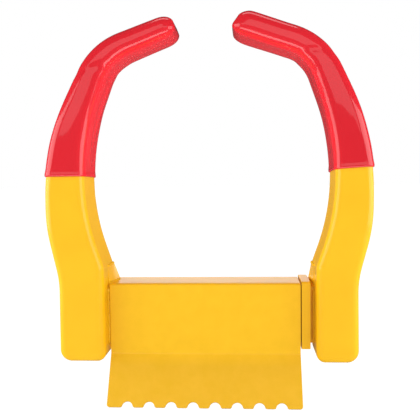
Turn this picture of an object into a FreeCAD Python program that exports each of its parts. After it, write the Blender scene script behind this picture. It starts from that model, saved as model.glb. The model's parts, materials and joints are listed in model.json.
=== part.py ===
import FreeCAD, Part
import math
import os

# Claw-type wheel clamp, closed, standing as it sits on a wheel.
# +X runs from the fixed arm to the sliding arm, -Y is the front, +Z is up.
# The origin is on top of the sleeve tube, where the tyre tread rests, midway between the arms.

V = FreeCAD.Vector

# Driving dimensions in millimetres, and degrees where the name ends in "angle".
SIZES = {
    # curved arms; "half" distances are measured from the middle plane between the closed arms
    "arm_front": -43.0, "arm_depth": 52.0, "wall": 2.5, "arm_edge_radius": 7.5,
    "arm_foot": -76.7, "arm_inner_half": 106.5,
    "left_belly_half": 164.6, "right_belly_half": 162.2, "left_foot_half": 153.4, "right_foot_half": 148.4,
    "vinyl": 1.2, "left_dip_line": 112.0, "right_dip_line": 117.0, "dip_top": 300.0,
    # sleeve tube and the bar that slides in it
    "sleeve_height": 66.0, "sleeve_depth": 42.0, "sleeve_right": 92.0, "tube_corner": 4.0,
    "bar_play": 0.5, "bar_left": -88.0, "end_plate": 3.0,
    "travel": 90.0, "hole_pitch": 15.0, "bar_hole": 11.0,
    # stop collar welded on the bar
    "collar_gap": 1.2, "collar_width": 8.8, "collar_rise": 2.0, "collar_front": -24.0, "collar_back": 22.0,
    "collar_corner": 3.0,
    # corner gussets between arm and crossbar
    "gusset_rise": 18.0, "left_gusset_reach": 7.0, "right_gusset_reach": 4.3, "gusset_nose": 0.8,
    "gusset_seat": 0.5, "left_gusset_front": -19.0, "right_gusset_front": -17.0,
    # notched chock plate on the front of the sleeve
    "plate": 3.0, "plate_left": -104.0, "plate_fold": -72.0, "flap_length": 54.1, "flap_angle": 28.4,
    "bend_radius": 5.0, "notch_pitch": 22.1, "notch_radius": 5.8, "notch_rise": -0.1, "tooth_radius": 2.0,
    "plate_corner": 2.5,
    # plunger lock on the back of the sleeve
    "lock_x": 40.0, "lock_z": -33.0, "housing_length": 34.0, "housing_outer": 16.0, "housing_bore": 12.08,
    "barrel": 12.0, "barrel_length": 30.0, "plunge": 10.0, "bolt": 5.0, "bolt_tip": 18.3, "bolt_seat": 6.0,
    "plug": 6.5, "plug_length": 22.0, "running_gap": 0.1, "keyway_width": 2.2, "keyway_height": 8.0,
    "keyway_length": 18.0, "tumbler": 1.1, "tumbler_pitch": 4.0, "tumbler_first": 46.5,
    "screw": 2.5, "screw_y": 45.0, "screw_tip": 2.3, "groove_depth": 2.0,
    "spring_wire": 1.6, "spring_radius": 9.0, "spring_turns": 3.0,
    "cover": 1.2, "cover_gap": 0.3, "cover_pivot": 8.3, "cover_eye": 3.2, "cover_disc": 6.6,
    "rivet": 1.25, "rivet_head": 2.6,
    # spring pin that stops the bar from being drawn right out
    "stop_x": 70.0, "stop_radius": 2.5, "stop_reach": 6.0,
}

doc = FreeCAD.newDocument("wheel_clamp")
sheet = doc.addObject("Spreadsheet::Sheet", "Sizes")
for row, (name, value) in enumerate(SIZES.items(), start=1):
    sheet.set("A%d" % row, name)
    sheet.set("B%d" % row, str(value))
    sheet.setAlias("B%d" % row, name)
doc.recompute()


def size(name):
    """Value of one named cell."""
    return float(sheet.get(name))


# ---------------------------------------------------------------- helpers

def bind(obj, **expressions):
    """Bind properties to sheet expressions; x, y, z mean the placement's position."""
    for prop, expression in expressions.items():
        path = "Placement.Base." + prop if prop in ("x", "y", "z") else prop
        obj.setExpression(path, expression)
    return obj


def named(kind, label):
    """New document object with its label."""
    obj = doc.addObject(kind, label)
    obj.Label = label
    return obj


def box(label, **expressions):
    """Box with Length, Width and Height along X, Y and Z and its low corner at x, y, z."""
    return bind(named("Part::Box", label), **expressions)


def cylinder(label, direction, **expressions):
    """Cylinder whose base centre is x, y, z and whose axis points along direction."""
    obj = named("Part::Cylinder", label)
    obj.Placement = FreeCAD.Placement(V(), FreeCAD.Rotation(V(0, 0, 1), V(*direction)))
    return bind(obj, **expressions)


def combine(kind, label, base, tools):
    """Part::Cut, Part::Common or Part::Fuse of a base with one or more tools."""
    if len(tools) == 1:
        tool = tools[0]
    else:
        tool = named("Part::MultiFuse", label + "_tools")
        tool.Shapes = tools
    result = named(kind, label)
    result.Base = base
    result.Tool = tool
    return result


def body_sketch(label, plane):
    """PartDesign body with one sketch on its own origin plane."""
    body = named("PartDesign::Body", label)
    sketch = body.newObject("Sketcher::SketchObject", label + "_sketch")
    support = next(item for item in body.Origin.OriginFeatures if item.Role == plane)
    sketch.AttachmentSupport = [(support, "")]
    sketch.MapMode = "FlatFace"
    return body, sketch


def pad(body, sketch, length, reverse=False):
    """Pad a sketch by a sheet expression."""
    feature = body.newObject("PartDesign::Pad", body.Label + "_pad")
    feature.Profile = sketch
    feature.Reversed = reverse
    feature.setExpression("Length", length)
    doc.recompute()
    return feature


def extrusion(label, plane, edges, length, reverse=False, **place):
    """Body padded from closed loops of edges drawn on an origin plane."""
    body, sketch = body_sketch(label, plane)
    sketch.addGeometry(edges, False)
    pad(body, sketch, length, reverse)
    return bind(body, **place)


def turned(label, profile, **place):
    """Body turned about an axis along Y, from (y, radius) corners."""
    body, sketch = body_sketch(label, "YZ_Plane")
    sketch.addGeometry(rounded([(y, r, 0.0) for y, r in profile]), False)
    turn = body.newObject("PartDesign::Revolution", label + "_turn")
    turn.Profile = sketch
    turn.ReferenceAxis = (sketch, ["H_Axis"])
    turn.Angle = 360.0
    doc.recompute()
    return bind(body, **place)


def rounded(corners, grow=0.0):
    """Closed loop of lines and tangent arcs from (x, y, radius) corners, grown outwards by grow."""
    points = [V(x, y, 0) for x, y, radius in corners]
    count = len(points)
    turning = sum(points[i - 1].cross(points[i]).z for i in range(count))
    outward = 1.0 if turning > 0 else -1.0
    steps = [(points[(i + 1) % count] - points[i]).normalize() for i in range(count)]
    starts, ends = [], []
    for i, (x, y, radius) in enumerate(corners):
        before, after = steps[i - 1], steps[i]
        turn = math.atan2(before.cross(after).z, before.dot(after))
        half = math.tan(turn / 2)
        side = V(before.y, -before.x, 0) * outward
        corner = points[i] + side * grow + before * (grow * half * outward)
        reach = 0.0
        if radius > 0:
            reach = (radius + grow * outward * math.copysign(1, turn)) * abs(half)
        starts.append((corner - before * reach, corner, turn))
        ends.append(corner + after * reach)
    edges = []
    for i in range(count):
        start, corner, turn = starts[i]
        if start.distanceToPoint(ends[i]) > 1e-6:
            middle = (start + ends[i]) * 0.5
            radius = start.distanceToPoint(corner) / math.tan(abs(turn) / 2)
            sagitta = radius - math.sqrt(radius ** 2 - start.distanceToPoint(middle) ** 2)
            crown = middle + (corner - middle).normalize() * sagitta
            edges.append(Part.Arc(start, crown, ends[i]))
        following = starts[(i + 1) % count][0]
        if ends[i].distanceToPoint(following) > 1e-6:
            edges.append(Part.LineSegment(ends[i], following))
    return edges


def rectangle(x0, x1, y0, y1, radius=0.0):
    """Rounded rectangle as four corners."""
    return rounded([(x0, y0, radius), (x1, y0, radius), (x1, y1, radius), (x0, y1, radius)])


def circle(x, y, radius):
    return [Part.Circle(V(x, y, 0), V(0, 0, 1), radius)]


# ---------------------------------------------------------------- curved arms

def arm_corners(side):
    """Corners of an arm seen from the front as (x, z, rounding), from the tip round its outer side."""
    hand = "left" if side < 0 else "right"
    belly, outer = size(hand + "_belly_half"), size(hand + "_foot_half")
    inner, foot = size("arm_inner_half"), size("arm_foot")
    hooks = {
        "left": [(36.5, 268.0, 9.0), (113.6, 240.9, 75.0), (belly, 141.0, 235.0)],
        "right": [(38.5, 270.4, 9.0), (116.2, 243.2, 75.0), (belly, 148.3, 235.0)],
    }
    bends = {
        "left": [(124.0, 72.0, 220.0), (124.0, 150.5, 222.0), (96.4, 225.4, 46.0), (28.0, 251.4, 9.0)],
        "right": [(125.0, 72.0, 220.0), (125.0, 151.5, 230.0), (98.4, 226.2, 40.0), (21.2, 252.8, 7.0)],
    }
    lower = [
        (belly, 60.0, 160.0), (outer - 0.8, 6.0, 100.0), (outer, foot, 12.0), (inner, foot, 8.5),
        (inner, 20.0, 12.0),
    ]
    return [(side * x, z, radius) for x, z, radius in hooks[hand] + lower + bends[hand]]


def arm_solid(label, side, grow):
    """The arm's outline grown all round, padded from front to back, with rounded front and back edges."""
    body, sketch = body_sketch(label, "XZ_Plane")
    sketch.addGeometry(rounded(arm_corners(side), grow), False)
    feature = pad(body, sketch, "Sizes.arm_depth + 2 * (%s)" % grow, reverse=True)
    flats = [i for i, face in enumerate(feature.Shape.Faces, start=1) if abs(face.normalAt(0, 0).y) > 0.99]
    fillet = body.newObject("PartDesign::Fillet", label + "_edges")
    fillet.Base = (feature, ["Face%d" % i for i in flats])
    fillet.setExpression("Radius", "Sizes.arm_edge_radius + (%s)" % grow)
    doc.recompute()
    return bind(body, y="Sizes.arm_front - (%s)" % grow)


def build_arm(name, side, dip_line):
    """One pressed-steel arm: channel, closing strips, tip and foot caps, and dipped vinyl skin."""
    envelope = arm_solid(name + "_envelope", side, 0.0)
    cavity = arm_solid(name + "_cavity", side, -size("wall"))
    walls = combine("Part::Cut", name + "_walls", envelope, [cavity])

    # Regions between the front and back walls, seen from the front, that cut the shell into its pieces.
    foot = size("arm_foot")
    middle = [(35.0, 259.0), (84.0, 243.5), (107.0, 228.0), (122.0, 196.0), (133.0, 173.0),
              (143.0, 103.0), (135.0, 40.0), (130.0, 20.0), (130.0, foot - 20)]
    around = [(200.0, foot - 20), (200.0, 300.0), (20.0, 300.0)]
    outer_zone = [(side * x, z, 0.0) for x, z in middle + around]
    tip_zone = [(side * x, z, 0.0) for x, z in [(39.5, 290.0), (10.0, 290.0), (10.0, 240.0), (32.3, 240.0)]]
    foot_zone = [(side * x, z, 0.0) for x, z in [(100.0, foot - 20), (160.0, foot - 20),
                                                (160.0, foot + 12), (100.0, foot + 12)]]
    zones = {}
    for zone, corners in (("outer", outer_zone), ("tip", tip_zone), ("foot", foot_zone)):
        zones[zone] = extrusion("%s_%s_zone" % (name, zone), "XZ_Plane", rounded(corners),
                                "Sizes.arm_depth - 2 * Sizes.wall", reverse=True,
                                y="Sizes.arm_front + Sizes.wall")
    combine("Part::Cut", name + "_channel", walls, list(zones.values()))
    combine("Part::Common", name + "_tip_cap", walls, [zones["tip"]])
    combine("Part::Common", name + "_foot_cap", walls, [zones["foot"]])
    strip = combine("Part::Common", name + "_strip_blank", walls, [zones["outer"]])
    combine("Part::Cut", name + "_outer_strip", strip, [zones["tip"], zones["foot"]])

    skin = arm_solid(name + "_skin", side, size("vinyl"))
    dipped = box(name + "_dip", Length="400", Width="200", Height="Sizes.dip_top - Sizes." + dip_line,
                 x="-200", y="-100", z="Sizes." + dip_line)
    upper_skin = combine("Part::Common", name + "_skin_upper", skin, [dipped])
    combine("Part::Cut", name + "_vinyl_sleeve", upper_skin, [envelope])
    return [name + end for end in ("_channel", "_tip_cap", "_foot_cap", "_outer_strip", "_vinyl_sleeve")]


def build_gusset(hand, side, base):
    """Wedge between an arm's inner side and the crossbar's top, tapering to a nose at its front."""
    inner, rise = side * size("arm_inner_half"), size("gusset_rise")
    sections = []
    for end, y, reach in (("nose", size(hand + "_gusset_front"), size("gusset_nose")),
                          ("heel", size("arm_front") + size("arm_depth"), size(hand + "_gusset_reach"))):
        section = named("Part::Polygon", "%s_gusset_%s" % (hand, end))
        section.Nodes = [V(inner, y, base), V(inner - side * reach, y, base), V(inner, y, rise)]
        section.Close = True
        sections.append(section)
    wedge = named("Part::Loft", hand + "_arm_gusset")
    wedge.Sections, wedge.Solid, wedge.Ruled = sections, True, True
    return wedge


# ---------------------------------------------------------------- crossbar

def build_sleeve(gusset):
    """Rectangular tube welded to the left arm and its gusset, with holes for the lock and the stop pin."""
    half, tall, wall, corner = size("sleeve_depth") / 2, size("sleeve_height"), size("wall"), size("tube_corner")
    loops = rectangle(-half, half, -tall, 0, corner)
    loops += rectangle(-half + wall, half - wall, -tall + wall, -wall, corner - wall)
    tube = extrusion("sleeve_blank", "YZ_Plane", loops,
                     "Sizes.sleeve_right + Sizes.arm_inner_half - Sizes.end_plate",
                     x="Sizes.end_plate - Sizes.arm_inner_half")
    end = extrusion("sleeve_end_blank", "YZ_Plane", rectangle(-half, half, -tall, 0, corner),
                    "Sizes.end_plate", x="-Sizes.arm_inner_half")
    combine("Part::Cut", "sleeve_end_plate", end, [gusset])
    lock_hole = cylinder("sleeve_lock_hole", (0, 1, 0), Radius="Sizes.bar_hole / 2", Height="3 * Sizes.wall",
                         x="Sizes.lock_x", y="Sizes.sleeve_depth / 2 - 2 * Sizes.wall", z="Sizes.lock_z")
    stop_hole = cylinder("sleeve_stop_hole", (0, 0, 1), Radius="Sizes.stop_radius", Height="2 * Sizes.wall",
                         x="Sizes.stop_x", z="-Sizes.sleeve_height - Sizes.wall / 2")
    combine("Part::Cut", "sleeve_tube", tube, [lock_hole, stop_hole, gusset])
    cylinder("travel_stop_pin", (0, 0, 1), Radius="Sizes.stop_radius", Height="Sizes.stop_reach",
             x="Sizes.stop_x", z="-Sizes.sleeve_height")
    return ["sleeve_tube", "sleeve_end_plate", "travel_stop_pin"]


def build_bar():
    """Bar tube that carries the right arm, with its row of lock holes and its stop slot."""
    inset = size("wall") + size("bar_play")
    half, tall = size("sleeve_depth") / 2 - inset, size("sleeve_height") - inset
    wall, corner = size("wall"), size("tube_corner") - 1.0
    loops = rectangle(-half, half, -tall, -inset, corner)
    loops += rectangle(-half + wall, half - wall, -tall + wall, -inset - wall)
    tube = extrusion("bar_blank", "YZ_Plane", loops,
                     "Sizes.arm_inner_half - Sizes.end_plate - Sizes.bar_left", x="Sizes.bar_left")
    tools = []
    for step in range(int(size("travel") / size("hole_pitch")) + 1):
        tools.append(cylinder("bar_hole_%d" % step, (0, 1, 0), Radius="Sizes.bar_hole / 2",
                              Height="3 * Sizes.wall", x="Sizes.lock_x - %d * Sizes.hole_pitch" % step,
                              y="Sizes.sleeve_depth / 2 - 4 * Sizes.wall", z="Sizes.lock_z"))
    slot_half = size("stop_radius") + 0.3
    slot_left, slot_right = size("stop_x") - size("travel") - slot_half, size("stop_x") + slot_half
    tools.append(extrusion("bar_stop_slot", "XY_Plane",
                           rectangle(slot_left, slot_right, -slot_half, slot_half, slot_half - 0.01),
                           "3 * Sizes.wall", z="-Sizes.sleeve_height"))
    combine("Part::Cut", "slide_bar", tube, tools)
    extrusion("bar_end_cap", "YZ_Plane", rectangle(-half, half, -tall, -inset, corner), "Sizes.end_plate",
              x="Sizes.bar_left - Sizes.end_plate")
    extrusion("bar_end_plate", "YZ_Plane", rectangle(-half, half, -tall, -inset, corner), "Sizes.end_plate",
              x="Sizes.arm_inner_half - Sizes.end_plate")

    rise = size("collar_rise")
    loops = rectangle(size("collar_front"), size("collar_back"), -size("sleeve_height") - rise, rise,
                      size("collar_corner"))
    loops += rectangle(-half, half, -tall, -inset, corner)
    extrusion("stop_collar", "YZ_Plane", loops, "Sizes.collar_width", x="Sizes.sleeve_right + Sizes.collar_gap")
    return ["slide_bar", "bar_end_cap", "bar_end_plate", "stop_collar"]


# ---------------------------------------------------------------- chock plate

def notch_loop(centre):
    """One notch seen square to the flap: a round bite that flares into the rounded tooth tips."""
    radius, rise, tip = size("notch_radius"), size("notch_rise"), size("tooth_radius")
    reach = math.sqrt((radius + tip) ** 2 - (tip - rise) ** 2)
    blend = V(reach, tip - rise, 0) * (radius / (radius + tip)) + V(0, rise, 0)
    swing = math.atan2(reach, tip - rise) / 2
    waist = V(reach - tip * math.cos(math.pi / 2 - swing * 0.98), tip - tip * math.sin(math.pi / 2 - swing * 0.98), 0)
    left = lambda p: V(centre - p.x, p.y, 0)
    right = lambda p: V(centre + p.x, p.y, 0)
    low = V(reach, -6.0, 0)
    foot = V(reach, 0, 0)
    return [
        Part.Arc(left(blend), V(centre, rise + radius, 0), right(blend)),
        Part.Arc(right(blend), right(waist), right(foot)),
        Part.LineSegment(right(foot), right(low)),
        Part.LineSegment(right(low), left(low)),
        Part.LineSegment(left(low), left(foot)),
        Part.Arc(left(foot), left(waist), left(blend)),
    ]


def corner_loop(edge, inward):
    """What a rounded end corner of the toothed edge leaves off, beside the plate's end at x = edge."""
    radius, outside, below = size("plate_corner"), edge - 2.0 * inward, -6.0
    slack = radius * (1 - math.sqrt(0.5))
    corners = [V(edge + radius * inward, 0, 0), V(edge + radius * inward, below, 0), V(outside, below, 0),
               V(outside, radius, 0), V(edge, radius, 0)]
    arc = Part.Arc(corners[-1], V(edge + slack * inward, slack, 0), corners[0])
    return [Part.LineSegment(start, stop) for start, stop in zip(corners, corners[1:])] + [arc]


def build_chock_plate():
    """Bent plate: a flange on the sleeve's front and a flap that leans forward and ends in teeth."""
    thick, fold, length = size("plate"), size("plate_fold"), size("flap_length")
    back = -size("sleeve_depth") / 2
    front = back - thick
    angle = math.radians(size("flap_angle"))
    along, across = V(-math.sin(angle), -math.cos(angle), 0), V(-math.cos(angle), math.sin(angle), 0)
    front_fold = V(front, fold, 0)
    back_fold = V(back, fold - thick * math.tan(angle / 2), 0)
    front_end = front_fold + along * length
    back_end = front_end - across * thick
    bend = size("bend_radius")
    outline = [(back, 0, 0), (front, 0, thick * 0.8), (front_fold.x, front_fold.y, bend),
               (front_end.x, front_end.y, 0), (back_end.x, back_end.y, 0),
               (back_fold.x, back_fold.y, bend + thick)]
    blank = extrusion("chock_blank", "YZ_Plane", rounded(outline), "Sizes.sleeve_right - Sizes.plate_left",
                      x="Sizes.plate_left")
    comb_edges = corner_loop(size("plate_left"), 1) + corner_loop(size("sleeve_right"), -1)
    centre = (size("sleeve_right") + size("plate_left")) / 2
    for tooth in range(8):
        comb_edges += notch_loop(centre + (tooth - 3.5) * size("notch_pitch"))
    comb = extrusion("chock_comb", "XZ_Plane", comb_edges, "10 * Sizes.plate")
    lean = FreeCAD.Rotation(V(1, 0, 0), -size("flap_angle"))
    middle = lean.multVec(V(0, 5 * thick, 0))
    comb.Placement = FreeCAD.Placement(V(0, front_end.x, front_end.y) + middle, lean)
    combine("Part::Cut", "chock_plate", blank, [comb])
    return ["chock_plate"]


# ---------------------------------------------------------------- plunger lock

def build_lock():
    """Push-in lock: housing, spring, barrel with bolt, keyed plug with tumblers, and keyhole cover."""
    at_lock = {"x": "Sizes.lock_x", "z": "Sizes.lock_z"}
    wall_y = size("sleeve_depth") / 2
    mouth = wall_y + size("housing_length")
    rear = mouth + size("plunge")
    inner_end = rear - size("barrel_length")
    outer, bore = size("housing_outer"), size("housing_bore")
    barrel, plug, bolt, gap = size("barrel"), size("plug"), size("bolt"), size("running_gap")
    screw_y, screw = size("screw_y"), size("screw")

    housing = turned("housing_blank", [(wall_y, bore), (mouth, bore), (mouth, outer - 1.5),
                                       (mouth - 1.5, outer), (wall_y, outer)], **at_lock)
    screw_hole = cylinder("housing_screw_hole", (0, 0, 1), Radius="Sizes.screw", Height="8",
                          x="Sizes.lock_x", y="Sizes.screw_y", z="Sizes.lock_z - Sizes.housing_outer - 1")
    combine("Part::Cut", "lock_housing", housing, [screw_hole])

    # Grub screw: its thin tip rides in the barrel's groove and limits the plunge.
    tip_depth = barrel - size("groove_depth") + 0.3
    body = cylinder("screw_body", (0, 0, 1), Radius="Sizes.screw - 0.02", Height="3.4",
                    x="Sizes.lock_x", y="Sizes.screw_y", z="Sizes.lock_z - Sizes.housing_outer + 0.5")
    tip = cylinder("screw_nose", (0, 0, 1), Radius="Sizes.screw_tip", x="Sizes.lock_x", y="Sizes.screw_y",
                   Height="Sizes.housing_outer - 1 - %.3f" % tip_depth,
                   z="Sizes.lock_z - Sizes.housing_outer + 1")
    socket = cylinder("screw_socket", (0, 0, 1), Radius="1.2", Height="2.5", x="Sizes.lock_x",
                      y="Sizes.screw_y", z="Sizes.lock_z - Sizes.housing_outer")
    screw_solid = combine("Part::Fuse", "screw_solid", body, [tip])
    combine("Part::Cut", "retaining_screw", screw_solid, [socket])

    # Barrel: bolt seat at the inner end, plug bore behind it, groove below, tumbler holes above.
    plug_end = rear - size("plug_length") - 0.5
    seat_end = inner_end + size("bolt_seat")
    blank = turned("barrel_blank", [(inner_end, bolt), (seat_end, bolt), (seat_end, plug + gap),
                                    (rear, plug + gap), (rear, barrel - 1.0), (rear - 1.0, barrel),
                                    (inner_end, barrel)], **at_lock)
    groove_half = screw + 0.2
    groove = extrusion("barrel_groove", "XY_Plane",
                       rectangle(-groove_half, groove_half, screw_y - groove_half,
                                 screw_y + size("plunge") + groove_half, groove_half - 0.01),
                       "Sizes.groove_depth + 1", x="Sizes.lock_x",
                       z="Sizes.lock_z - Sizes.barrel - 1")
    barrel_tools, plug_tools, drivers, keys = [groove], [], [], []
    for stack in range(4):
        place = {"x": "Sizes.lock_x", "y": "Sizes.tumbler_first + %d * Sizes.tumbler_pitch" % stack}
        barrel_tools.append(cylinder("driver_hole_%d" % stack, (0, 0, 1), Radius="Sizes.tumbler + 0.1",
                                     Height="4.5", z="Sizes.lock_z + Sizes.plug - 0.5", **place))
        plug_tools.append(cylinder("key_hole_%d" % stack, (0, 0, 1), Radius="Sizes.tumbler + 0.1",
                                   Height="Sizes.plug", z="Sizes.lock_z + 2", **place))
        drivers.append(cylinder("driver_%d" % stack, (0, 0, 1), Radius="Sizes.tumbler", Height="2.6",
                                z="Sizes.lock_z + Sizes.plug + 2 * Sizes.running_gap", **place))
        keys.append(cylinder("key_%d" % stack, (0, 0, 1), Radius="Sizes.tumbler",
                             Height="%.2f" % (1.6 + 0.3 * (stack % 3)),
                             z="Sizes.lock_z + %.2f" % (6.2 - 1.6 - 0.3 * (stack % 3)), **place))
    rivet_hole = cylinder("rivet_hole", (0, 1, 0), Radius="Sizes.rivet", Height="6", x="Sizes.lock_x",
                          y="%.3f" % (rear - 5), z="Sizes.lock_z + Sizes.cover_pivot + 0.9")
    barrel_tools.append(rivet_hole)
    combine("Part::Cut", "lock_barrel", blank, barrel_tools)
    driver_group = named("Part::Compound", "driver_pins")
    driver_group.Links = drivers
    key_group = named("Part::Compound", "key_pins")
    key_group.Links = keys

    plug_blank = turned("plug_blank", [(plug_end, 0), (rear - 0.5, 0), (rear - 0.5, plug - 0.4),
                                       (rear - 0.9, plug), (plug_end, plug)], **at_lock)
    keyway = box("keyway", Length="Sizes.keyway_width", Width="Sizes.keyway_length + 1",
                 Height="Sizes.keyway_height", x="Sizes.lock_x - Sizes.keyway_width / 2",
                 y="%.3f - Sizes.keyway_length" % (rear - 0.5), z="Sizes.lock_z - Sizes.keyway_height / 2")
    combine("Part::Cut", "key_plug", plug_blank, plug_tools + [keyway])
    turned("plug_cam", [(seat_end + 0.3, 0), (plug_end, 0), (plug_end, plug - 0.8),
                        (seat_end + 0.3, plug - 0.8)], **at_lock)

    bolt_tip = size("bolt_tip")
    bolt_blank = turned("bolt_blank", [(bolt_tip, 0), (bolt_tip, bolt - 1.5), (bolt_tip + 1.5, bolt),
                                       (seat_end, bolt), (seat_end, 0)], **at_lock)
    pin_hole = cylinder("bolt_pin_hole", (1, 0, 0), Radius="1.25", Height="2 * Sizes.barrel",
                        x="Sizes.lock_x - Sizes.barrel", y="%.3f" % (inner_end + 3), z="Sizes.lock_z")
    combine("Part::Cut", "lock_bolt", bolt_blank, [pin_hole])
    cylinder("bolt_cross_pin", (1, 0, 0), Radius="1.25", Height="2 * Sizes.bolt - 0.6",
             x="Sizes.lock_x - Sizes.bolt + 0.3", y="%.3f" % (inner_end + 3), z="Sizes.lock_z")

    # Return spring between the sleeve's back wall and the barrel, bent from short straight pieces of wire.
    wire, coil_radius, facets = size("spring_wire"), size("spring_radius"), 20
    height = inner_end - wall_y - wire - 0.2
    count = int(size("spring_turns") * facets)
    helix = [V(coil_radius * math.cos(2 * math.pi * i / facets), height * i / count,
               coil_radius * math.sin(2 * math.pi * i / facets)) for i in range(count + 1)]
    path = named("Part::Polygon", "spring_path")
    path.Nodes = helix
    ring = named("Part::Circle", "spring_ring")
    bind(ring, Radius="Sizes.spring_wire / 2")
    ring.Placement = FreeCAD.Placement(helix[0], FreeCAD.Rotation(V(0, 0, 1), helix[1] - helix[0]))
    coil = named("Part::Sweep", "lock_spring")
    coil.Sections, coil.Spine, coil.Solid, coil.Frenet = [ring], (path, []), True, False
    coil.Transition = "Right corner"
    coil.Placement.Base = V(size("lock_x"), wall_y + wire / 2 + 0.1, size("lock_z"))

    # Keyhole cover that hangs from a rivet in the barrel's face.
    pivot = size("cover_pivot") + 0.9
    eye, disc, cover_y = size("cover_eye"), size("cover_disc"), rear + size("cover_gap")
    lean = math.asin((disc - eye) / pivot)
    disc_touch = V(disc * math.cos(lean), disc * math.sin(lean), 0)
    eye_touch = V(eye * math.cos(lean), pivot + eye * math.sin(lean), 0)
    flip = lambda p: V(-p.x, p.y, 0)
    edges = [Part.Arc(flip(disc_touch), V(0, -disc, 0), disc_touch),
             Part.LineSegment(disc_touch, eye_touch),
             Part.Arc(eye_touch, V(0, pivot + eye, 0), flip(eye_touch)),
             Part.LineSegment(flip(eye_touch), flip(disc_touch))]
    edges += circle(0, pivot, size("rivet") + 0.1)
    extrusion("keyhole_cover", "XZ_Plane", edges, "Sizes.cover", reverse=True,
              y="%.3f" % cover_y, **at_lock)
    head_y = cover_y + size("cover") + size("cover_gap")
    shank = cylinder("rivet_shank", (0, 1, 0), Radius="Sizes.rivet", Height="%.3f" % (head_y - rear + 4.5),
                     x="Sizes.lock_x", y="%.3f" % (rear - 4), z="Sizes.lock_z + Sizes.cover_pivot + 0.9")
    head = cylinder("rivet_top", (0, 1, 0), Radius="Sizes.rivet_head", Height="1.0", x="Sizes.lock_x",
                    y="%.3f" % head_y, z="Sizes.lock_z + Sizes.cover_pivot + 0.9")
    combine("Part::Fuse", "cover_rivet", shank, [head])
    return ["lock_housing", "retaining_screw", "lock_barrel", "driver_pins", "key_pins", "key_plug",
            "plug_cam", "lock_bolt", "bolt_cross_pin", "lock_spring", "keyhole_cover", "cover_rivet"]


# ---------------------------------------------------------------- build, check, export

nodes = build_arm("left_arm", -1, "left_dip_line") + build_arm("right_arm", 1, "right_dip_line")
bar_top = -size("wall") - size("bar_play")
left_gusset = build_gusset("left", -1, -size("gusset_seat"))
right_gusset = build_gusset("right", 1, bar_top)
nodes += [left_gusset.Label, right_gusset.Label]
nodes += build_sleeve(left_gusset) + build_bar() + build_chock_plate() + build_lock()
doc.recompute()

failed = [obj.Label for obj in doc.Objects if "Invalid" in obj.State or "Error" in obj.State]
assert not failed, "failed objects: %s" % failed
os.makedirs("parts", exist_ok=True)
for node in nodes:
    shape = doc.getObjectsByLabel(node)[0].Shape
    assert not shape.isNull() and shape.isValid() and shape.Solids, node
    shape.exportStep("parts/%s.step" % node)
    print("%-22s solids %d volume %.0f mm3" % (node, len(shape.Solids), shape.Volume))
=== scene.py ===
import json
import math

import bmesh
import bpy
from mathutils import Matrix, Vector, noise
from mathutils.bvhtree import BVHTree


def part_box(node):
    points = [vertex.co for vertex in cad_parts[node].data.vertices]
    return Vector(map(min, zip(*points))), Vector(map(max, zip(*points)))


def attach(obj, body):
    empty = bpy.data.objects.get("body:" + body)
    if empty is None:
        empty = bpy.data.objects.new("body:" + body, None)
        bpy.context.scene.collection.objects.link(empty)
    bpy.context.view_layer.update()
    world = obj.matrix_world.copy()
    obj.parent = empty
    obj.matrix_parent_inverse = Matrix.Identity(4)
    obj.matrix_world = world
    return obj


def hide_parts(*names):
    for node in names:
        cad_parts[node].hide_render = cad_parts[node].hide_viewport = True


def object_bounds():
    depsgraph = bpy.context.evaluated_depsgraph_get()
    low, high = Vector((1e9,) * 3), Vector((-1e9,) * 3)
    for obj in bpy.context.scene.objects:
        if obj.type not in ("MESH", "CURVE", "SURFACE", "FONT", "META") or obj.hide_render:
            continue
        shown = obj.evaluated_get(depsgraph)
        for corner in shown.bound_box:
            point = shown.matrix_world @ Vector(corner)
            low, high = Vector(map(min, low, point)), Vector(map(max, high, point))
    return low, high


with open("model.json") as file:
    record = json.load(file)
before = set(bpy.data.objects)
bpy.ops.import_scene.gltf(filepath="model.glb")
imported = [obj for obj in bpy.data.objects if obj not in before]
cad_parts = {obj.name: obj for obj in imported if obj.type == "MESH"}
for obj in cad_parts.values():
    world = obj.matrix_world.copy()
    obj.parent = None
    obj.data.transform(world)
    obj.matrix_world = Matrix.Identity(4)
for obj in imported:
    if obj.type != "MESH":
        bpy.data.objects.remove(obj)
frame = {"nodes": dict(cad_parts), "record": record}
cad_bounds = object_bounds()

MM = 0.001


# ---------------------------------------------------------------- materials

def shader(name, **values):
    """New material with a Principled shader whose constant sockets are set directly."""
    material = bpy.data.materials.new(name)
    material.use_nodes = True
    surface = material.node_tree.nodes["Principled BSDF"]
    for socket, value in values.items():
        surface.inputs[socket.replace("_", " ")].default_value = value
    return material, material.node_tree, surface


def node(tree, kind, **values):
    """New shader node with its properties and inputs."""
    made = tree.nodes.new(kind)
    for key, value in values.items():
        if hasattr(made, key):
            setattr(made, key, value)
        else:
            made.inputs[key.replace("_", " ")].default_value = value
    return made


def two_tones(tree, surface, place, scale, dark, light):
    """Base colour that drifts between two close tones."""
    cloud = node(tree, "ShaderNodeTexNoise", Scale=scale, Detail=3.0)
    tone = node(tree, "ShaderNodeValToRGB")
    all_dark, all_light = 0.3, 0.7
    for element, position, color in zip(tone.color_ramp.elements, (all_dark, all_light), (dark, light)):
        element.position, element.color = position, (*color, 1)
    tree.links.new(place.outputs["Object"], cloud.inputs["Vector"])
    tree.links.new(cloud.outputs["Fac"], tone.inputs["Fac"])
    tree.links.new(tone.outputs["Color"], surface.inputs["Base Color"])


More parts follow.
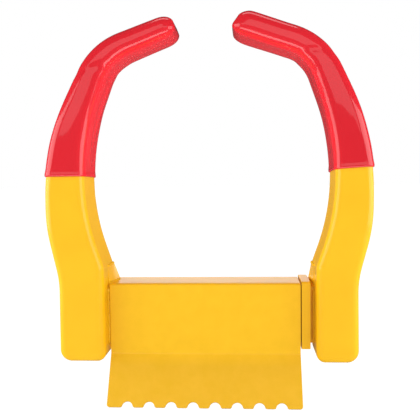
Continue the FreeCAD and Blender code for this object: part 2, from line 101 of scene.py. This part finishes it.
def bumps(tree, surface, place, *layers):
    """Chain of noise bumps, each given as (scale, strength, height in metres)."""
    previous = None
    for scale, strength, height in layers:
        grain = node(tree, "ShaderNodeTexNoise", Scale=scale, Detail=2.0)
        bump = node(tree, "ShaderNodeBump", Strength=strength, Distance=height)
        tree.links.new(place.outputs["Object"], grain.inputs["Vector"])
        tree.links.new(grain.outputs["Fac"], bump.inputs["Height"])
        if previous:
            tree.links.new(previous.outputs["Normal"], bump.inputs["Normal"])
        previous = bump
    tree.links.new(previous.outputs["Normal"], surface.inputs["Normal"])


def powder_coat(name, dark, light, peel, mottle=16.0):
    """Semi-gloss yellow powder coat: faint mottling, slow waves and a fine orange peel."""
    material, tree, surface = shader(name, Roughness=0.34, Specular_IOR_Level=0.25,
                                     Coat_Weight=0.5, Coat_Roughness=0.10)
    place = node(tree, "ShaderNodeTexCoord")
    two_tones(tree, surface, place, mottle, dark, light)
    bumps(tree, surface, place, (45.0, 0.22, 0.0007), (170.0, peel, 0.0003), (520.0, 0.10, 0.0003))
    return material


def paint_flap_shade(material, fold, blend, tone):
    """Paints shade into the coat below the plate's fold, where it leans forward: the coat's colour is
    multiplied by tone, which fades in over the blend.
    """
    tree = material.node_tree
    surface, place = tree.nodes["Principled BSDF"], tree.nodes["Texture Coordinate"]
    height = node(tree, "ShaderNodeSeparateXYZ")
    step = node(tree, "ShaderNodeMapRange")
    step.inputs["From Min"].default_value = fold
    step.inputs["From Max"].default_value = fold - blend
    # Multiply mix that paints the flap's shade and grey reflection over the coat.
    shade_mix = node(tree, "ShaderNodeMix", data_type="RGBA", blend_type="MULTIPLY")
    colours = [socket for socket in shade_mix.inputs if socket.type == "RGBA"]
    shaded_colour = [socket for socket in shade_mix.outputs if socket.type == "RGBA"][0]
    colours[1].default_value = (*tone, 1)
    coat = surface.inputs["Base Color"].links[0].from_socket
    tree.links.new(place.outputs["Object"], height.inputs["Vector"])
    tree.links.new(height.outputs["Z"], step.inputs["Value"])
    tree.links.new(step.outputs["Result"], shade_mix.inputs["Factor"])
    tree.links.new(coat, colours[0])
    tree.links.new(shaded_colour, surface.inputs["Base Color"])


def vinyl():
    """Glossy dipped vinyl: deep red with slow ripples from the dip."""
    material, tree, surface = shader("red_vinyl", Roughness=0.22, Specular_IOR_Level=0.2,
                                     Coat_Weight=1.0, Coat_Roughness=0.04)
    place = node(tree, "ShaderNodeTexCoord")
    two_tones(tree, surface, place, 9.0, (0.60, 0.010, 0.019), (0.69, 0.015, 0.025))
    bumps(tree, surface, place, (30.0, 0.30, 0.0012), (110.0, 0.12, 0.0005))
    return material


def metal(name, color, roughness, scratch):
    """Turned or plated metal with fine streaks in its roughness."""
    material, tree, surface = shader(name, Metallic=1.0)
    place = node(tree, "ShaderNodeTexCoord")
    streaks = node(tree, "ShaderNodeTexNoise", Scale=scratch, Detail=4.0)
    spread = node(tree, "ShaderNodeMapRange")
    spread.inputs["To Min"].default_value = roughness * 0.7
    spread.inputs["To Max"].default_value = roughness * 1.3
    surface.inputs["Base Color"].default_value = (*color, 1)
    tree.links.new(place.outputs["Object"], streaks.inputs["Vector"])
    tree.links.new(streaks.outputs["Fac"], spread.inputs["Value"])
    tree.links.new(spread.outputs["Result"], surface.inputs["Roughness"])
    return material


FINISH = {
    "yellow_powder_coat": powder_coat("yellow_powder_coat", (0.83, 0.45, 0.003), (0.90, 0.50, 0.005),
                                      peel=0.20),
    "red_vinyl": vinyl(),
    "lock_chrome": metal("lock_chrome", (0.75, 0.76, 0.78), roughness=0.18, scratch=300.0),
    "bright_steel": metal("bright_steel", (0.55, 0.56, 0.58), roughness=0.28, scratch=500.0),
    "brass": metal("brass", (0.78, 0.58, 0.25), roughness=0.22, scratch=400.0),
}

for part in frame["record"]["subparts"]:
    obj = frame["nodes"][part["node"]]
    obj.data.materials.clear()
    obj.data.materials.append(FINISH[part["material_slot"]])

# The chock plate's coat shows more orange peel than the rest. Below its fold the coat is painted darker and
# bluer: painted shade with a painted grey reflection, where the flap leans forward.
plate_coat_with_flap_shade = powder_coat("plate_powder_coat_with_flap_shade", (0.865, 0.478, 0.003), (0.905, 0.503, 0.006),
                         peel=0.50, mottle=90.0)
# Red and green times 0.9 and blue times 2.6 below the fold: painted shade with a painted grey reflection.
paint_flap_shade(plate_coat_with_flap_shade, fold=-72.0 * MM, blend=12.0 * MM, tone=(0.90, 0.90, 2.6))
frame["nodes"]["chock_plate"].data.materials[0] = plate_coat_with_flap_shade


# ---------------------------------------------------------------- pieces

def new_piece(name, bm, slot, body):
    """Finished mesh object with its material, smooth shading and the body that carries it."""
    bmesh.ops.recalc_face_normals(bm, faces=bm.faces)
    mesh = bpy.data.meshes.new(name)
    bm.to_mesh(mesh)
    bm.free()
    mesh.polygons.foreach_set("use_smooth", [True] * len(mesh.polygons))
    piece = bpy.data.objects.new(name, mesh)
    bpy.context.scene.collection.objects.link(piece)
    mesh.materials.append(FINISH[slot])
    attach(piece, body)
    return piece


def skin_rings(bm, rings):
    """Quads between neighbouring rings of equal length, each ring closed on itself."""
    made = [[bm.verts.new(point) for point in ring] for ring in rings]
    count = len(made[0])
    for low, high in zip(made, made[1:]):
        for i in range(count):
            bm.faces.new((low[i], low[(i + 1) % count], high[(i + 1) % count], high[i]))
    return made


def cad_surface(name):
    """Search tree over a CAD node's faces."""
    mesh = frame["nodes"][name].data
    return BVHTree.FromPolygons([v.co for v in mesh.vertices], [tuple(p.vertices) for p in mesh.polygons])


# ---------------------------------------------------------------- dipped vinyl sleeves

EDGE = 7.5 * MM          # rounding of the steel arm's front and back edges
STRIDE = 3.0 * MM        # spacing of the sections along an arm
SKIN = 1.2 * MM          # thickness of the vinyl
PLAY = 0.15 * MM         # gap between the steel and the vinyl
TIP_ZONE = 12.0 * MM     # length at the arm's end that the tip's dome covers
TIP_ROUND = 9.2 * MM     # how far the dome draws in
TIP_STEPS = 8            # sections in the dome
ARC_STEPS = 5            # facets in a section's rounded corner
FLAT_STEPS = 10          # facets in a section's straight side
FRONT_CROWN = 0.9 * MM   # swell of the front and back faces
SIDE_CROWN = 0.5 * MM    # swell of the inner and outer faces
PLAIN = 6.0 * MM         # length above the lip without crown or ripples
FADE = 25.0 * MM         # length over which they grow to their full depth
LEAN = 18.0 * MM         # length over which the lip's tilt dies away

# The rolled lip's outline: millimetres along the arm and out from the steel.
LIP = ((0.0, 0.3), (-0.5, 0.75), (-0.4, 1.25), (0.3, 1.65), (1.4, 1.75), (2.8, 1.55))

# Ripples from the dip: how many a metre across the arm and along it, their height and a shift of the seed.
RIPPLES = ((95, 16, 0.42 * MM, 1), (30, 34, 0.30 * MM, 2))

# Creases near the elbow in millimetres along the arm: start, slant across it, width, depth, and the share
# of the width (from -1 inside to 1 outside) where the crease ends.
CREASES = (
    (-14.0, -12.0, 4.0, 0.50, 1.0),
    (-1.0, 5.0, 3.4, 0.40, 0.0),
    (12.0, 8.0, 4.0, 0.40, 0.3),
)


def walk_arm(name, side):
    """Sections up the middle of the steel inside a sleeve: centre, direction and half width at each."""
    surface = cad_surface(name)
    low, high = (Vector(corner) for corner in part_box(name))
    mesh = frame["nodes"][name].data
    edge = [abs(v.co.x) for v in mesh.vertices if v.co.z < low.z + 0.1 * MM]
    centre = Vector((side * (min(edge) + max(edge)) / 2, (low.y + high.y) / 2, low.z + 0.2 * MM))
    along, stations = Vector((0, 0, 1)), []
    while True:
        across = Vector((along.z, 0, -along.x)) * side
        outer = surface.ray_cast(centre, across)[3]
        inner = surface.ray_cast(centre, -across)[3]
        half = (outer + inner) / 2
        centre = centre + across * (outer - inner) / 2
        if stations:
            along = (along + (centre - stations[-1][0]).normalized()).normalized()
        stations.append((centre.copy(), along.copy(), half))
        ahead = surface.ray_cast(centre, along)[3]
        if ahead < TIP_ZONE + STRIDE:
            reach = [surface.ray_cast(centre + across * share * half, along)[3] for share in (-0.5, 0.5)]
            return stations, ahead, (reach[1] - reach[0]) / half
        centre = centre + along * STRIDE


def section(width, depth, radius):
    """Rounded rectangle as (u, v, outward u, outward v), u across the arm and v from front to back."""
    points = []
    radius = max(min(radius, width - 0.1 * MM, depth - 0.1 * MM), 0.1 * MM)
    flat_u, flat_v = width - radius, depth - radius
    corners = ((flat_u, flat_v, 0), (-flat_u, flat_v, 90), (-flat_u, -flat_v, 180), (flat_u, -flat_v, 270))
    for i, (u, v, start) in enumerate(corners):
        for step in range(ARC_STEPS + 1):
            angle = math.radians(start + 90 * step / ARC_STEPS)
            points.append((u + radius * math.cos(angle), v + radius * math.sin(angle),
                           math.cos(angle), math.sin(angle)))
        next_u, next_v = corners[(i + 1) % 4][:2]
        angle = math.radians(start + 90)
        begin = (u + radius * math.cos(angle), v + radius * math.sin(angle))
        stop = (next_u + radius * math.cos(angle), next_v + radius * math.sin(angle))
        for step in range(1, FLAT_STEPS):
            share = step / FLAT_STEPS
            points.append((begin[0] + (stop[0] - begin[0]) * share, begin[1] + (stop[1] - begin[1]) * share,
                           math.cos(angle), math.sin(angle)))
    return points


def relief(u, v, share_u, share_v, out, run, elbow, seed):
    """Height of the vinyl above its plain skin: crowned faces, ripples from the dip and creases."""
    fade = min(1.0, max(0.0, (run - PLAIN) / FADE))
    height = fade * FRONT_CROWN * abs(out[1]) * (1 - share_u ** 2)
    height += fade * SIDE_CROWN * abs(out[0]) * (1 - share_v ** 2)
    for across, ahead, size, shift in RIPPLES:
        height += fade * size * noise.noise(seed * shift + Vector((u * across, v * across, run * ahead)))
    for start, slant, breadth, depth, reach in CREASES:
        gap = (run - elbow) - (start + slant * share_u) * MM
        shown = max(0.0, min(1.0, (reach - share_u) * 1.5)) if reach < 1 else 1.0
        height -= depth * MM * shown * math.exp(-(gap / (breadth * MM)) ** 2)
    return height


def vinyl_sleeve(name, side, body, tilt, rise, crease):
    """Dipped skin over the upper arm: a rolled lip, a slightly crowned front and a domed, closed tip.

    The lip is lower at the back by tilt, and higher by rise at the arm's outer side and lower at its inner.
    The creases lie at the elbow, moved along the arm by crease.
    """
    stations, ahead, slant = walk_arm(name, side)
    low, high = (Vector(corner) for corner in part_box(name))
    steel_depth = (high.y - low.y) / 2 - SKIN
    seed = Vector((7.3 * side, 1.9, 4.1))
    elbow = max(range(2, len(stations) - 2),
                key=lambda i: stations[i - 2][1].angle(stations[i + 2][1])) * STRIDE + crease

    def ring(centre, along, width, run, offset, inset=0.0, sculpted=True, skew=0.0):
        across = Vector((along.z, 0, -along.x)) * side
        points = []
        for u, v, out_u, out_v in section(width + offset - inset, steel_depth + offset - inset,
                                          EDGE + offset - inset):
            proud = 0.0
            if sculpted:
                share_u, share_v = u / (width + offset), v / (steel_depth + offset)
                proud = relief(u, v, share_u, share_v, (out_u, out_v), run, elbow, seed)
            slide = -max(0.0, 1 - run / LEAN) * (tilt * (v / steel_depth + 1) / 2 - rise * u / width)
            slide += skew * u
            points.append(centre + across * (u + out_u * proud) + Vector((0, v + out_v * proud, 0))
                          + along * slide)
        return points

    outside, inside = [], []
    centre, along, width = stations[0]
    for run, offset in LIP:
        outside.append(ring(centre + along * run * MM, along, width, run * MM, offset * MM))
    for i, (centre, along, width) in enumerate(stations[2:], start=2):
        outside.append(ring(centre, along, width, i * STRIDE, SKIN + PLAY))
    for i in range(0, len(stations), 4):
        centre, along, width = stations[i]
        inside.append(ring(centre, along, width, i * STRIDE, PLAY, sculpted=False))
    centre, along, width = stations[-1]
    length = len(stations) * STRIDE
    for step in range(1, TIP_STEPS + 1):
        angle = math.radians(90 * step / TIP_STEPS)
        inset = TIP_ROUND * (1 - math.cos(angle))
        skew = slant * math.sin(angle)
        tip = centre + along * (ahead + SKIN) * math.sin(angle)
        outside.append(ring(tip, along, width, length, SKIN + PLAY, inset, skew=skew))
        if step % 2 == 0:
            tip = centre + along * (ahead + 0.1 * MM) * math.sin(angle)
            inside.append(ring(tip, along, width, length, PLAY, inset, sculpted=False, skew=skew))
    bm = bmesh.new()
    made = skin_rings(bm, inside[::-1] + outside)
    bm.faces.new(made[0][::-1])
    bm.faces.new(made[-1])
    piece = new_piece(name + "_dipped", bm, "red_vinyl", body)
    smooth = piece.modifiers.new("smooth", "SUBSURF")
    smooth.levels = smooth.render_levels = 1
    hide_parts(name)


# ---------------------------------------------------------------- weld beads

BEAD_STEP = 1.1 * MM     # spacing of the rings along a bead
FACETS = 10              # sides of a bead


def weld(name, route, radius, body, closed=False):
    """Painted weld bead along a route: a rippled tube with rounded ends."""
    points = [Vector(p) for p in route]
    line = []
    for start, stop in zip(points, points[1:]):
        count = max(2, int((stop - start).length / BEAD_STEP))
        line += [start.lerp(stop, i / count) for i in range(count)]
    if not closed:
        line.append(points[-1])
    seed, rings, count, side = sum(map(ord, name)) * 0.37, [], len(line), None
    for i, point in enumerate(line):
        before = line[i - 1] if i or closed else point
        after = line[(i + 1) % count if closed else min(i + 1, count - 1)]
        along = (after - before).normalized()
        side = (side - along * side.dot(along)).normalized() if side else along.orthogonal().normalized()
        other = along.cross(side)
        end = 1.0 if closed else min(1.0, 0.35 + 0.4 * min(i, count - 1 - i))
        beat, wander = 0.13 * math.sin(i * 1.9), 0.22 * noise.noise(Vector((i * 0.35, seed, 0)))
        size = radius * end * (1 + beat + wander)
        rings.append([point + (side * math.cos(t) + other * math.sin(t)) * size
                      for t in (2 * math.pi * k / FACETS for k in range(FACETS))])
    bm = bmesh.new()
    made = skin_rings(bm, rings)
    if closed:
        first, last = made[0], made[-1]
        for k in range(FACETS):
            after = (k + 1) % FACETS
            bm.faces.new((last[k], last[after], first[after], first[k]))
    else:
        bm.faces.new(made[0][::-1])
        bm.faces.new(made[-1])
    new_piece(name, bm, "yellow_powder_coat", body)


def welds():
    """Beads where the arms, crossbar, gussets, chock plate and lock housing meet."""
    tube_low, tube_high = (Vector(corner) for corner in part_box("sleeve_tube"))
    for hand, body in (("left", "fixed_arm"), ("right", "slide_arm")):
        low, high = (Vector(corner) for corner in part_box(hand + "_arm_gusset"))
        wall, toe, base = (low.x, high.x, 0.0) if hand == "left" else (high.x, low.x, low.z)
        nose, heel = low.y, high.y - MM
        weld(hand + "_gusset_top_weld", [(wall, nose, high.z), (wall, heel, high.z)],
             radius=1.5 * MM, body=body)
        weld(hand + "_gusset_toe_weld", [(wall + (toe - wall) * 0.12, nose, base), (toe, heel, base)],
             radius=1.3 * MM, body=body)
    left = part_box("left_arm_gusset")[0][0]
    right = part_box("right_arm_gusset")[1][0]
    bar_low, bar_high = (Vector(corner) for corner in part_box("slide_bar"))
    margin, rear = 3 * MM, 8 * MM
    x, y = left + 0.6 * MM, tube_low.y - 1.0 * MM
    weld("sleeve_front_weld", [(x, y, tube_low.z + margin), (x, y, tube_high.z - margin)],
         radius=1.9 * MM, body="fixed_arm")
    weld("sleeve_under_weld", [(left, tube_low.y + margin, tube_low.z), (left, rear, tube_low.z)],
         radius=1.8 * MM, body="fixed_arm")
    x, y = right - 0.5 * MM, bar_low.y
    weld("bar_front_weld", [(x, y, bar_low.z + margin), (x, y, bar_high.z - margin)],
         radius=1.5 * MM, body="slide_arm")
    weld("bar_under_weld", [(right, bar_low.y + margin, bar_low.z), (right, rear, bar_low.z)],
         radius=1.6 * MM, body="slide_arm")
    house_low, house_high = (Vector(corner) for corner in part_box("lock_housing"))
    middle, reach = (house_low + house_high) / 2, (house_high.x - house_low.x) / 2
    points, y = 48, tube_high.y + 0.3 * MM
    circle = [(middle.x + reach * math.cos(t), y, middle.z + reach * math.sin(t))
              for t in (2 * math.pi * k / points for k in range(points + 1))]
    weld("housing_weld", circle, radius=1.7 * MM, body="fixed_arm", closed=True)
    plate_low, plate_high = (Vector(corner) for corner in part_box("chock_plate"))
    stitches = 3
    stitch, z = (plate_high.x - plate_low.x) / (2 * stitches + 1), tube_low.z + 0.5 * MM
    for i in range(stitches):
        start = plate_low.x + stitch * (2 * i + 1)
        weld("plate_stitch_%d" % (i + 1), [(start, tube_low.y, z), (start + stitch, tube_low.y, z)],
             radius=1.8 * MM, body="fixed_arm")


vinyl_sleeve("left_arm_vinyl_sleeve", -1, "fixed_arm", tilt=2.0 * MM, rise=0.0, crease=-16.0 * MM)
vinyl_sleeve("right_arm_vinyl_sleeve", 1, "slide_arm", tilt=3.5 * MM, rise=1.0 * MM, crease=0.0)
welds()


# ---------------------------------------------------------------- floor, light and camera

def glow(tree, camera, soft, mirrored):
    """Brightness that depends on who looks: the camera, matt surfaces or glossy reflections."""
    path = node(tree, "ShaderNodeLightPath")
    level = None
    for ray, value in (("Is Camera Ray", camera), ("Is Glossy Ray", mirrored)):
        step = node(tree, "ShaderNodeMath", operation="MULTIPLY_ADD")
        step.inputs[1].default_value = value - soft
        step.inputs[2].default_value = soft
        tree.links.new(path.outputs[ray], step.inputs[0])
        if level:
            tree.links.new(level, step.inputs[2])
        level = step.outputs["Value"]
    return level


def floor():
    """Pale, evenly lit floor at the object's lowest point."""
    bm = bmesh.new()
    reach, behind, lowest = 6.0, 2.0, cad_bounds[0][2]
    bmesh.ops.create_grid(bm, x_segments=8, y_segments=8, size=reach)
    bmesh.ops.translate(bm, verts=bm.verts, vec=(0, behind, lowest))
    mesh = bpy.data.meshes.new("floor")
    bm.to_mesh(mesh)
    bm.free()
    ground = bpy.data.objects.new("floor", mesh)
    bpy.context.scene.collection.objects.link(ground)
    material, tree, surface = shader("pale_floor", Roughness=0.9, Specular_IOR_Level=0.1,
                                     Base_Color=(0.10, 0.10, 0.10, 1), Emission_Color=(1, 1, 1, 1))
    tree.links.new(glow(tree, camera=1.0, soft=1.05, mirrored=0.0), surface.inputs["Emission Strength"])
    mesh.materials.append(material)


def room():
    """White room all round, dim in reflections so that the colours stay deep."""
    world = bpy.data.worlds.new("studio")
    world.use_nodes = True
    tree = world.node_tree
    white = tree.nodes["Background"]
    white.inputs["Color"].default_value = (1, 1, 1, 1)
    tree.links.new(glow(tree, camera=1.0, soft=0.70, mirrored=0.05), white.inputs["Strength"])
    bpy.context.scene.world = world


AIM = (0.0, 0.0, 0.08)       # where most lights point, in the lower half of the jaw
HOOKS = (0.0, 0.01, 0.30)    # where the card inside the jaw points, above the arms' tips

# Each light's name, place, width and height in metres, and watts; a card or strip also names what it lights.
BOXES = (
    ("front_box", (0.0, -1.45, 0.52), 1.9, 0.45, 2.4),
    ("left_box", (-1.10, -0.42, 0.12), 1.2, 0.9, 7.5),
    ("right_box", (1.10, -0.42, 0.12), 1.2, 0.9, 7.5),
    ("left_rear_box", (-1.10, 0.30, 0.15), 0.9, 0.6, 12.0),
    ("right_rear_box", (1.10, 0.30, 0.15), 0.9, 0.6, 9.0),
)
SLEEVES = ("left_arm_vinyl_sleeve_dipped", "right_arm_vinyl_sleeve_dipped")
LOCK = ("lock_barrel", "keyhole_cover", "cover_rivet", "key_plug", "retaining_screw", "lock_bolt")
BAR = ("sleeve_tube", "stop_collar", "chock_plate")
CARDS = (
    ("back_card", (-0.12, 1.6, 0.33), 0.8, 0.3, 1.0, BAR),
    ("left_gusset_card", (0.75, 1.6, 0.20), 0.8, 0.3, 0.9, ("left_arm_gusset",)),
    ("right_gusset_card", (-0.55, 1.6, 0.08), 0.8, 0.3, 0.9, ("right_arm_gusset",)),
    ("lock_card", (0.04, 0.42, 0.05), 0.9, 0.5, 8.0, LOCK),
    ("under_card", (0.0, 0.55, -0.11), 0.9, 0.6, 7.0, SLEEVES),
    ("jaw_card", (0.05, 0.01, 0.05), 0.14, 0.05, 0.20, SLEEVES),
    ("low_strip", (0.0, -0.30, -0.11), 0.8, 0.3, 2.2, SLEEVES),
    ("high_strip", (0.0, -0.05, 1.10), 0.8, 0.3, 1.6, SLEEVES),
)

# Reflections don't show these. A strip is the opposite: it shows in reflections only.
MATT_ONLY = ("left_rear_box", "right_rear_box", "under_card", "jaw_card")


def softbox(name, place, width, height, power):
    """Rectangular soft light that the camera doesn't see."""
    lamp = bpy.data.lights.new(name, "AREA")
    lamp.shape, lamp.size, lamp.size_y, lamp.energy = "RECTANGLE", width, height, power
    light = bpy.data.objects.new(name, lamp)
    bpy.context.scene.collection.objects.link(light)
    light.location = place
    target = Vector(HOOKS if name == "jaw_card" else AIM)
    light.rotation_euler = (target - Vector(place)).to_track_quat("-Z", "Y").to_euler()
    light.visible_camera = False
    light.visible_glossy = name not in MATT_ONLY
    return light


def lights():
    """Soft boxes in front, at the sides and behind, then cards and strips that light only some pieces."""
    for box in BOXES:
        softbox(*box)
    for name, place, width, height, power, receivers in CARDS:
        card = softbox(name, place, width, height, power)
        card.visible_diffuse = name.endswith("card")
        lit = bpy.data.collections.new(name + "_lit")
        for receiver in receivers:
            lit.objects.link(bpy.data.objects[receiver])
        card.light_linking.receiver_collection = lit


def camera():
    """A 50 mm camera in front, a little right of centre and looking slightly down."""
    lens = bpy.data.cameras.new("camera")
    lens.lens, lens.sensor_width, lens.clip_start = 50.5, 36.0, 0.01
    eye = bpy.data.objects.new("camera", lens)
    bpy.context.scene.collection.objects.link(eye)
    place = Vector((38.5, -619.2, 115.5)) * MM
    turn, dip, roll = math.radians(3.6), math.radians(3.79), math.radians(-0.75)
    eye.matrix_world = (Matrix.Translation(place)
                        @ Matrix.Rotation(turn, 4, "Z") @ Matrix.Rotation(math.pi / 2 - dip, 4, "X")
                        @ Matrix.Rotation(roll, 4, "Z"))
    bpy.context.scene.camera = eye


floor()
room()
lights()
camera()
bpy.context.scene.view_settings.view_transform = "Standard"
